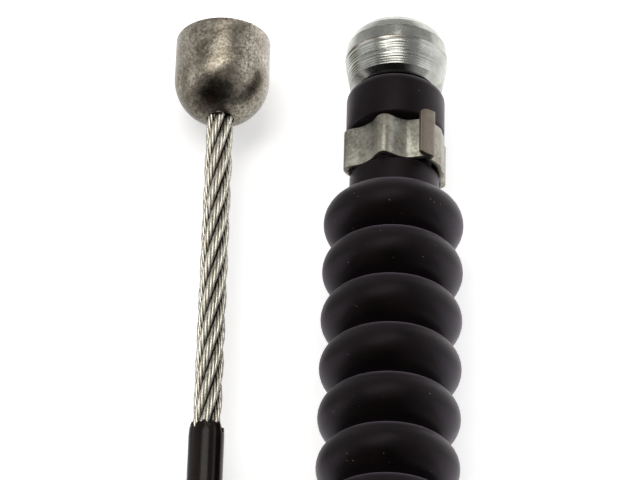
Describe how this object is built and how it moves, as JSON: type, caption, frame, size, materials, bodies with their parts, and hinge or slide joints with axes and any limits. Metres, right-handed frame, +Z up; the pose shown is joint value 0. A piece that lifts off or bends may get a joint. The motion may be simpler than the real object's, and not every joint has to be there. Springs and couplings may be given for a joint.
{
  "type": "parking brake cable",
  "caption": "Parking brake cable: a barrel nipple on bare laid wire rope at one end, a turned ball end with a waved clamp and rubber bellows at the other, the conduit coiled and tied behind.",
  "frame": {"origin": "on the floor plane, under the middle of the box round the two ends (the coiled conduit and its ties are not counted)", "axes": "+Y along both ends, from the conduit towards the nipple's and the ball's end faces; +Z up from the surface that the cable lies on; +X from the nipple's side to the bellows' side"},
  "size_m": [0.0997, 0.2249, 0.0268],
  "materials": {
    "cast_zinc": "die-cast zinc, warm grey, slightly tarnished",
    "wire": "galvanised steel wire, bright with dark gaps between the wires",
    "turned_steel": "turned and zinc-plated steel with fine tool marks",
    "plated_steel": "zinc-plated steel, satin",
    "band_steel": "galvanised strip, dull warm grey",
    "cable_coating": "extruded black plastic, glossy, slightly brown",
    "rubber": "black moulded rubber with a satin sheen",
    "jacket": "extruded black plastic jacket, semi-matt",
    "liner": "natural low-friction plastic",
    "tie_plastic": "black moulded nylon"
  },
  "bodies": {
    "casing": {"ferrule_front": "plated_steel", "liner_front": "liner", "conduit_front": "jacket", "conduit_coil": "jacket", "coil_tie_1": "tie_plastic", "coil_tie_2": "tie_plastic", "conduit_rear": "jacket", "ferrule_rear": "plated_steel", "liner_rear": "liner", "bellows": "rubber"},
    "nipple_end": {"nipple": "cast_zinc", "rope_core": "wire", "rope_strand_1": "wire", "rope_strand_2": "wire", "rope_strand_3": "wire", "rope_strand_4": "wire", "rope_strand_5": "wire", "rope_strand_6": "wire", "inner_cable_front": "cable_coating"},
    "ball_end": {"end_fitting": "turned_steel", "band_clamp": "band_steel", "inner_cable_rear": "cable_coating"}
  },
  "joints": [
    {"name": "nipple_slide", "type": "slide", "parent": "casing", "child": "nipple_end", "axis": [0, 1, 0], "range_m": [0, 0.015]},
    {"name": "ball_slide", "type": "slide", "parent": "casing", "child": "ball_end", "axis": [0, -1, 0], "range_m": [0, 0.015], "deforming": ["bellows"]}
  ],
  "couplings": [
    {"joint": "ball_slide", "follows": "nipple_slide", "ratio": 1}
  ]
}
